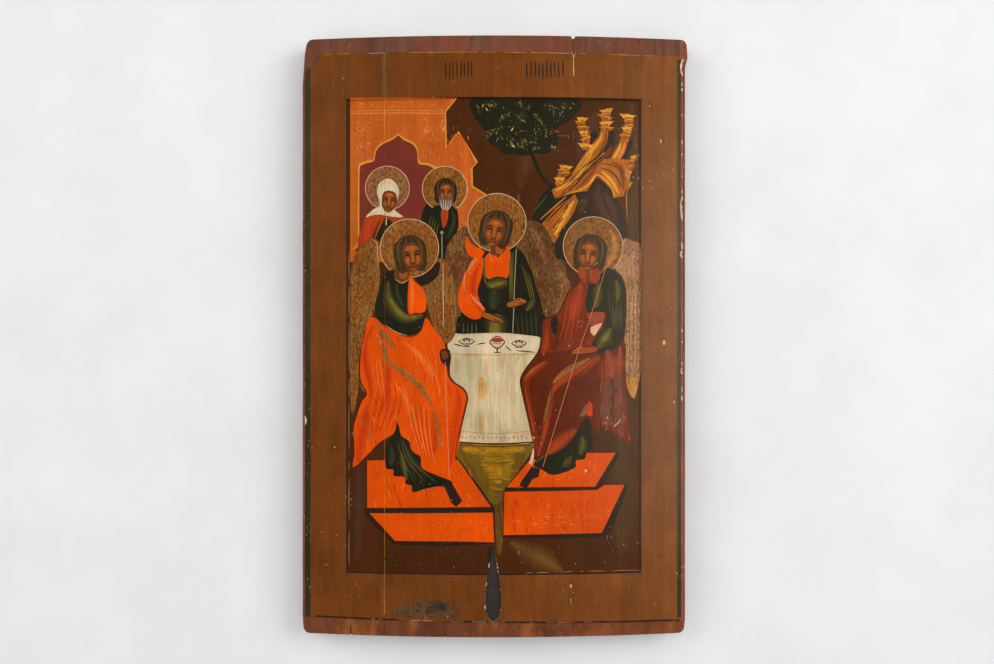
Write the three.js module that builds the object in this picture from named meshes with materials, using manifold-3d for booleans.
// A tall painted icon panel. Three upright boards stand edge to edge, held by two tapered battens
// that slide in dovetail grooves across the back. The panel has warped with age, so its middle
// stands forward of its long edges. The front has a sunk picture field inside a wide border, a
// bare bevel along the top and the bottom, and a skin of white ground that carries the painting.
//
// Millimetres, +Z up, front towards -Y, +X to the right seen from the front. The origin is on the
// flat back of the upper batten, where the panel lies against a wall.

import * as THREE from 'three';
import { mergeVertices } from 'three/addons/utils/BufferGeometryUtils.js';
import Module from 'manifold-3d';

const wasm = await Module();
wasm.setup();

// Boards
const LEFT_BOARD_WIDTH = 75.4;
const MIDDLE_BOARD_WIDTH = 168.9;
const RIGHT_BOARD_WIDTH = 102.1;
const SEAM_GAP = 0.3;
const PANEL_HEIGHT = 540;
const BOARD_THICKNESS = 26;
const BOW_DEPTH = 15;
const CORNER_RADIUS = 6;

// The long edges: a worn arris, a lean at the top left and an unworn ear at the top right
const ARRIS_WIDTH = 2.5;
const ARRIS_DROP = 2;
const LEAN_REACH = 3;
const LEAN_HEIGHT = 44;
const EAR_REACH = 2.5;
const EAR_HEIGHT = 18;
const EAR_SLOPE = 8;

// Bevels along the top and bottom, each a little wider at one end than at the other
const TOP_BEVEL_AT_LEFT = 15;
const TOP_BEVEL_AT_RIGHT = 17;
const BOTTOM_BEVEL_AT_LEFT = 16.8;
const BOTTOM_BEVEL_AT_RIGHT = 12.8;
const BEVEL_DROP = 6;

// The sunk picture field
const SIDE_BORDER = 41;
const TOP_BORDER = 56.7;
const BOTTOM_BORDER = 57.5;
const RECESS_DEPTH = 2;
const RECESS_SLOPE = 2.5;

// The ground coat
const GROUND_THICKNESS = 1.2;
const GROUND_GAP = 0.3;

// Losses: a lost corner, two bites at the right edge, a chip beside a seam, and an open seam top
const CORNER_LOSS = 13;
const BITE_REACH = 3;
const UPPER_BITE_FROM_TOP = 28;
const UPPER_BITE_HEIGHT = 14;
const LOWER_BITE_FROM_TOP = 154;
const LOWER_BITE_HEIGHT = 21;
const SEAM_CHIP_WIDTH = 5;
const SEAM_CHIP_HEIGHT = 7;
const SEAM_CHIP_FROM_BOTTOM = 45;
const NOTCH_WIDTH = 4;
const NOTCH_HEIGHT = 5;
const NOTCH_DEPTH = 14;

// The scorched hollow left by a candle, low on the middle of the panel. The lower its draw, the
// lower its widest place and the longer the point above it.
const BURN_X = -0.6;
const BURN_LIFT = 0.7;
const BURN_LENGTH = 69;
const BURN_WIDTH = 13;
const BURN_DEPTH = 2.5;
const BURN_DRAW = 0.55;

// Battens
const UPPER_BATTEN_FROM_TOP = 110;
const LOWER_BATTEN_FROM_BOTTOM = 112;
const BATTEN_WIDTH = 34;
const BATTEN_TAPER = 5;
const BATTEN_PROUD = 3;
const BATTEN_END_INSET = 2;
const BLIND_END = 26;
const GROOVE_DEPTH = 8;
const DOVETAIL_FLARE = 3;
const BATTEN_CLEARANCE = 0.3;

// Fineness of the curved surfaces, and how far a cutting body runs past what it cuts
const BOW_STEP = 12;
const ROUND_SIDES = 16;
const CORNER_SIDES = 5;
const BURN_RINGS = 14;
const PAST = 10;

// Places that follow from the sizes
const PANEL_WIDTH = LEFT_BOARD_WIDTH + MIDDLE_BOARD_WIDTH + RIGHT_BOARD_WIDTH + 2 * SEAM_GAP;
const HALF_WIDTH = PANEL_WIDTH / 2;
const TOP_Z = UPPER_BATTEN_FROM_TOP;
const BOTTOM_Z = TOP_Z - PANEL_HEIGHT;
const LOWER_BATTEN_Z = BOTTOM_Z + LOWER_BATTEN_FROM_BOTTOM;
const LEFT_SEAM_X = -HALF_WIDTH + LEFT_BOARD_WIDTH + SEAM_GAP / 2;
const RIGHT_SEAM_X = HALF_WIDTH - RIGHT_BOARD_WIDTH - SEAM_GAP / 2;
const FIELD_HALF_WIDTH = HALF_WIDTH - SIDE_BORDER;
const FIELD_TOP_Z = TOP_Z - TOP_BORDER;
const FIELD_BOTTOM_Z = BOTTOM_Z + BOTTOM_BORDER;

// Where the left edge of the panel lies at a height
function leftEdge(z) {
  const share = THREE.MathUtils.clamp((z - (TOP_Z - LEAN_HEIGHT)) / LEAN_HEIGHT, 0, 1);
  return -HALF_WIDTH + LEAN_REACH * share;
}

// Where the right edge of the panel lies at a height
function rightEdge(z) {
  const earFoot = TOP_Z - EAR_HEIGHT - EAR_SLOPE;
  const share = THREE.MathUtils.clamp((z - earFoot) / EAR_SLOPE, 0, 1);
  return HALF_WIDTH + EAR_REACH * share;
}

// Moves the outermost places across the panel out or in, to follow its uneven long edges
function followEdges(x, z) {
  if (x <= -HALF_WIDTH + ARRIS_WIDTH) return x + leftEdge(z) + HALF_WIDTH;
  if (x >= HALF_WIDTH - ARRIS_WIDTH) return x + rightEdge(z) - HALF_WIDTH;
  return x;
}

// Lower line of the top bevel
function topBevelZ(x) {
  const share = (x + HALF_WIDTH) / PANEL_WIDTH;
  return TOP_Z - THREE.MathUtils.lerp(TOP_BEVEL_AT_LEFT, TOP_BEVEL_AT_RIGHT, share);
}

// Upper line of the bottom bevel
function bottomBevelZ(x) {
  const share = (x + HALF_WIDTH) / PANEL_WIDTH;
  return BOTTOM_Z + THREE.MathUtils.lerp(BOTTOM_BEVEL_AT_LEFT, BOTTOM_BEVEL_AT_RIGHT, share);
}

// The warped back of the boards
function backY(x) {
  return -BATTEN_PROUD - BOW_DEPTH * (1 - (x / HALF_WIDTH) ** 2);
}

// How far the worn arris drops back from the front at a place
function arrisDrop(x, z) {
  const inside = Math.min(x - leftEdge(z), rightEdge(z) - x);
  return ARRIS_DROP * THREE.MathUtils.clamp(1 - inside / ARRIS_WIDTH, 0, 1);
}

// How far the bevels drop back from the front at a place
function bevelDrop(x, z) {
  const top = (z - topBevelZ(x)) / (TOP_Z - topBevelZ(x));
  const bottom = (bottomBevelZ(x) - z) / (bottomBevelZ(x) - BOTTOM_Z);
  return BEVEL_DROP * Math.max(0, top, bottom);
}

// How far the picture field is sunk at a place
function fieldDrop(x, z) {
  const side = FIELD_HALF_WIDTH - Math.abs(x);
  const inside = Math.min(side, FIELD_TOP_Z - z, z - FIELD_BOTTOM_Z);
  return RECESS_DEPTH * THREE.MathUtils.clamp(inside / RECESS_SLOPE, 0, 1);
}

// The carved wooden front of the boards
function woodFrontY(x, z) {
  const drop = arrisDrop(x, z) + bevelDrop(x, z) + fieldDrop(x, z);
  return backY(x) - BOARD_THICKNESS + drop;
}

// The painted face of the ground coat
function groundFrontY(x, z) {
  return woodFrontY(x, z) - GROUND_GAP - GROUND_THICKNESS;
}

// Places across or up the panel: every key within the two ends, and steps no longer than a limit
function placesBetween(from, to, keys, longest) {
  const inside = keys.filter((key) => key > from && key < to);
  const stops = [from, ...inside.sort((a, b) => a - b), to];
  const places = [from];
  for (let k = 1; k < stops.length; k += 1) {
    const parts = Math.ceil((stops[k] - stops[k - 1]) / longest);
    for (let n = 1; n <= parts; n += 1) {
      places.push(THREE.MathUtils.lerp(stops[k - 1], stops[k], n / parts));
    }
  }
  return places;
}

const COLUMN_KEYS = [
  -HALF_WIDTH + ARRIS_WIDTH,
  -FIELD_HALF_WIDTH,
  -FIELD_HALF_WIDTH + RECESS_SLOPE,
  FIELD_HALF_WIDTH - RECESS_SLOPE,
  FIELD_HALF_WIDTH,
  HALF_WIDTH - ARRIS_WIDTH,
];

// Heights of the rows on one column. The bevel lines slant, so they differ from column to column.
function rowHeights(x, withBevels) {
  const rows = [
    bottomBevelZ(x),
    FIELD_BOTTOM_Z,
    FIELD_BOTTOM_Z + RECESS_SLOPE,
    FIELD_TOP_Z - RECESS_SLOPE,
    FIELD_TOP_Z,
    TOP_Z - LEAN_HEIGHT,
    TOP_Z - EAR_HEIGHT - EAR_SLOPE,
    TOP_Z - EAR_HEIGHT,
    topBevelZ(x),
  ];
  if (withBevels) rows.push(BOTTOM_Z, TOP_Z);
  return rows.sort((a, b) => a - b);
}

// A closed slab between a front and a back surface, on a grid of columns and slanting rows
function slab(columns, withBevels, frontAt, backAt) {
  const corners = [];
  const rowCount = rowHeights(0, withBevels).length;
  for (const column of columns) {
    for (const z of rowHeights(column, withBevels)) {
      const x = followEdges(column, z);
      corners.push(x, frontAt(x, z), z);
      corners.push(x, backAt(x, z), z);
    }
  }
  const front = (i, j) => 2 * (i * rowCount + j);
  const back = (i, j) => front(i, j) + 1;
  const triangles = [];
  const quad = (a, b, c, d) => triangles.push(a, b, c, a, c, d);
  const lastColumn = columns.length - 1;
  const lastRow = rowCount - 1;
  for (let i = 0; i < lastColumn; i += 1) {
    for (let j = 0; j < lastRow; j += 1) {
      quad(front(i, j), front(i + 1, j), front(i + 1, j + 1), front(i, j + 1));
      quad(back(i, j), back(i, j + 1), back(i + 1, j + 1), back(i + 1, j));
    }
    quad(front(i, 0), back(i, 0), back(i + 1, 0), front(i + 1, 0));
    quad(front(i, lastRow), front(i + 1, lastRow), back(i + 1, lastRow), back(i, lastRow));
  }
  for (let j = 0; j < lastRow; j += 1) {
    quad(front(0, j), front(0, j + 1), back(0, j + 1), back(0, j));
    quad(front(lastColumn, j), back(lastColumn, j), back(lastColumn, j + 1), front(lastColumn, j + 1));
  }
  return closedGeometry(corners, triangles);
}

function closedGeometry(corners, triangles) {
  const geometry = new THREE.BufferGeometry();
  geometry.setAttribute('position', new THREE.Float32BufferAttribute(corners, 3));
  geometry.setIndex(triangles);
  return geometry;
}

// Turns a closed geometry into a solid that can be cut
function solidOf(geometry) {
  const bare = geometry.clone();
  bare.deleteAttribute('normal');
  bare.deleteAttribute('uv');
  const merged = mergeVertices(bare, 1e-4);
  return new wasm.Manifold(new wasm.Mesh({
    numProp: 3,
    vertProperties: Float32Array.from(merged.attributes.position.array),
    triVerts: Uint32Array.from(merged.index.array),
  }));
}

// Turns a solid back into a geometry for a mesh
function geometryOf(solid) {
  const made = solid.getMesh();
  const geometry = new THREE.BufferGeometry();
  geometry.setAttribute('position', new THREE.BufferAttribute(made.vertProperties, 3));
  geometry.setIndex(new THREE.BufferAttribute(made.triVerts, 1));
  const faceted = geometry.toNonIndexed();
  faceted.computeVertexNormals();
  return faceted;
}

// A prism of a front-view outline that runs from one depth to another
function prism(outline, fromY, toY) {
  const geometry = new THREE.ExtrudeGeometry(outline, {
    depth: toY - fromY,
    bevelEnabled: false,
    curveSegments: CORNER_SIDES,
  });
  geometry.rotateX(Math.PI / 2);
  geometry.translate(0, toY, 0);
  return solidOf(geometry);
}

const FOREMOST_Y = backY(0) - BOARD_THICKNESS - PAST;

// What is cut off one corner of the panel to round it, for a corner on the side and end given
function cornerCut(x, z, side, end) {
  const outline = new THREE.Shape();
  const centreX = x - side * CORNER_RADIUS;
  const centreZ = z - end * CORNER_RADIUS;
  const sideAngle = side > 0 ? 0 : Math.PI;
  const endAngle = end * Math.PI / 2;
  const turn = side * end < 0;
  outline.moveTo(x + side * PAST, z + end * PAST);
  outline.lineTo(x + side * PAST, centreZ);
  const last = end < 0 && side < 0 ? endAngle + 2 * Math.PI : endAngle;
  outline.absarc(centreX, centreZ, CORNER_RADIUS, sideAngle, last, turn);
  outline.lineTo(centreX, z + end * PAST);
  outline.closePath();
  return prism(outline, FOREMOST_Y, PAST);
}

// A round-sided body that cuts a flake out of the ground coat
function flake(x, z, width, height) {
  const geometry = new THREE.CylinderGeometry(0.5, 0.5, -FOREMOST_Y, ROUND_SIDES);
  geometry.scale(width, 1, height);
  geometry.translate(x, FOREMOST_Y / 2, z);
  return solidOf(geometry);
}

// The scorched hollow: a long drop, round below and drawn out to a point above
function burn() {
  const profile = [];
  for (let ring = 0; ring <= BURN_RINGS; ring += 1) {
    const share = ring / BURN_RINGS;
    const radius = ring % BURN_RINGS === 0 ? 0 : Math.sin(Math.PI * share ** BURN_DRAW) / 2;
    profile.push(new THREE.Vector2(radius * BURN_WIDTH, share * BURN_LENGTH));
  }
  const geometry = new THREE.LatheGeometry(profile, ROUND_SIDES);
  geometry.rotateX(Math.PI / 2);
  geometry.scale(1, 2 * BURN_DEPTH / BURN_WIDTH, 1);
  const footZ = bottomBevelZ(BURN_X) + BURN_LIFT;
  geometry.translate(BURN_X, groundFrontY(BURN_X, footZ), footZ);
  return solidOf(geometry);
}

// The wedge-shaped opening at the top of the right-hand seam
function seamNotch() {
  const outline = new THREE.Shape();
  outline.moveTo(RIGHT_SEAM_X, TOP_Z - NOTCH_HEIGHT);
  outline.lineTo(RIGHT_SEAM_X + NOTCH_WIDTH / 2, TOP_Z);
  outline.lineTo(RIGHT_SEAM_X + NOTCH_WIDTH / 2, TOP_Z + PAST);
  outline.lineTo(RIGHT_SEAM_X - NOTCH_WIDTH / 2, TOP_Z + PAST);
  outline.lineTo(RIGHT_SEAM_X - NOTCH_WIDTH / 2, TOP_Z);
  outline.closePath();
  return prism(outline, FOREMOST_Y, woodFrontY(RIGHT_SEAM_X, TOP_Z) + NOTCH_DEPTH);
}

// The part of a batten's length that it or its groove takes up. A batten enters on one side of the
// panel and stops short of the other side.
function battenColumns(entersOn, isGroove) {
  const enterX = isGroove ? HALF_WIDTH + PAST : HALF_WIDTH - BATTEN_END_INSET;
  const blindX = isGroove ? HALF_WIDTH - BLIND_END + BATTEN_CLEARANCE : HALF_WIDTH - BLIND_END;
  const from = entersOn > 0 ? -blindX : -enterX;
  const to = entersOn > 0 ? enterX : blindX;
  return placesBetween(from, to, [], BOW_STEP);
}

// A batten, or the groove cut for it: straight and flat behind, bowed and flared in front
function battenGeometry(centreZ, entersOn, isGroove) {
  const clearance = isGroove ? BATTEN_CLEARANCE : 0;
  const columns = battenColumns(entersOn, isGroove);
  const corners = [];
  for (const x of columns) {
    const fromEntry = (HALF_WIDTH - entersOn * x) / PANEL_WIDTH;
    const neck = (BATTEN_WIDTH - BATTEN_TAPER * fromEntry) / 2 + clearance;
    const flared = neck + DOVETAIL_FLARE;
    const floorY = backY(x) - GROOVE_DEPTH - clearance;
    const behindY = isGroove ? PAST : 0;
    corners.push(x, floorY, centreZ - flared);
    corners.push(x, backY(x), centreZ - neck);
    corners.push(x, behindY, centreZ - neck);
    corners.push(x, behindY, centreZ + neck);
    corners.push(x, backY(x), centreZ + neck);
    corners.push(x, floorY, centreZ + flared);
  }
  const sides = 6;
  const triangles = [];
  for (let i = 0; i < columns.length - 1; i += 1) {
    for (let k = 0; k < sides; k += 1) {
      const here = i * sides + k;
      const along = i * sides + (k + 1) % sides;
      triangles.push(here, along, along + sides, here, along + sides, here + sides);
    }
  }
  const end = (columns.length - 1) * sides;
  const cap = [[0, 1, 5], [1, 4, 5], [1, 2, 4], [2, 3, 4]];
  for (const [a, b, c] of cap) {
    triangles.push(a, c, b);
    triangles.push(end + a, end + b, end + c);
  }
  return closedGeometry(corners, triangles);
}

const UPPER_GROOVE = solidOf(battenGeometry(0, 1, true));
const LOWER_GROOVE = solidOf(battenGeometry(LOWER_BATTEN_Z, -1, true));
const BURN = burn();
const NOTCH = seamNotch();

// One board between two places across the panel
function boardGeometry(from, to) {
  const columns = placesBetween(from, to, COLUMN_KEYS, BOW_STEP);
  const plank = solidOf(slab(columns, true, woodFrontY, backY));
  const cuts = [
    UPPER_GROOVE,
    LOWER_GROOVE,
    BURN,
    NOTCH,
    cornerCut(leftEdge(TOP_Z), TOP_Z, -1, 1),
    cornerCut(rightEdge(TOP_Z), TOP_Z, 1, 1),
    cornerCut(leftEdge(BOTTOM_Z), BOTTOM_Z, -1, -1),
    cornerCut(rightEdge(BOTTOM_Z), BOTTOM_Z, 1, -1),
  ];
  return geometryOf(cuts.reduce((solid, cut) => solid.subtract(cut), plank));
}

// The ground coat over all three boards, with its losses
function groundGeometry() {
  const from = -HALF_WIDTH + ARRIS_WIDTH;
  const to = HALF_WIDTH - ARRIS_WIDTH;
  const columns = placesBetween(from, to, COLUMN_KEYS, BOW_STEP);
  const innerY = (x, z) => woodFrontY(x, z) - GROUND_GAP;
  const coat = solidOf(slab(columns, false, groundFrontY, innerY));
  const biteWidth = 2 * (ARRIS_WIDTH + BITE_REACH);
  const upperBiteZ = TOP_Z - UPPER_BITE_FROM_TOP;
  const lowerBiteZ = TOP_Z - LOWER_BITE_FROM_TOP;
  const cuts = [
    flake(leftEdge(TOP_Z), topBevelZ(-HALF_WIDTH), 2 * CORNER_LOSS, 2 * CORNER_LOSS),
    flake(rightEdge(upperBiteZ), upperBiteZ, biteWidth, UPPER_BITE_HEIGHT),
    flake(rightEdge(lowerBiteZ), lowerBiteZ, biteWidth, LOWER_BITE_HEIGHT),
    flake(RIGHT_SEAM_X, BOTTOM_Z + SEAM_CHIP_FROM_BOTTOM, SEAM_CHIP_WIDTH, SEAM_CHIP_HEIGHT),
    BURN,
  ];
  return geometryOf(cuts.reduce((solid, cut) => solid.subtract(cut), coat));
}

const BOARD_WOOD = { color: 0x7a4a2c, roughness: 0.75, metalness: 0 };
const BATTEN_WOOD = { color: 0x6b4a30, roughness: 0.8, metalness: 0 };
const PAINTED_GROUND = { color: 0x7b4a26, roughness: 0.5, metalness: 0 };

const panel = new THREE.Group();

function addPiece(name, geometry, finish) {
  const mesh = new THREE.Mesh(geometry, new THREE.MeshStandardMaterial(finish));
  mesh.name = name;
  panel.add(mesh);
}

const halfGap = SEAM_GAP / 2;
addPiece('board_left', boardGeometry(-HALF_WIDTH, LEFT_SEAM_X - halfGap), BOARD_WOOD);
addPiece('board_middle', boardGeometry(LEFT_SEAM_X + halfGap, RIGHT_SEAM_X - halfGap), BOARD_WOOD);
addPiece('board_right', boardGeometry(RIGHT_SEAM_X + halfGap, HALF_WIDTH), BOARD_WOOD);
addPiece('batten_upper', battenGeometry(0, 1, false), BATTEN_WOOD);
addPiece('batten_lower', battenGeometry(LOWER_BATTEN_Z, -1, false), BATTEN_WOOD);
addPiece('gesso_ground', groundGeometry(), PAINTED_GROUND);

export default panel;
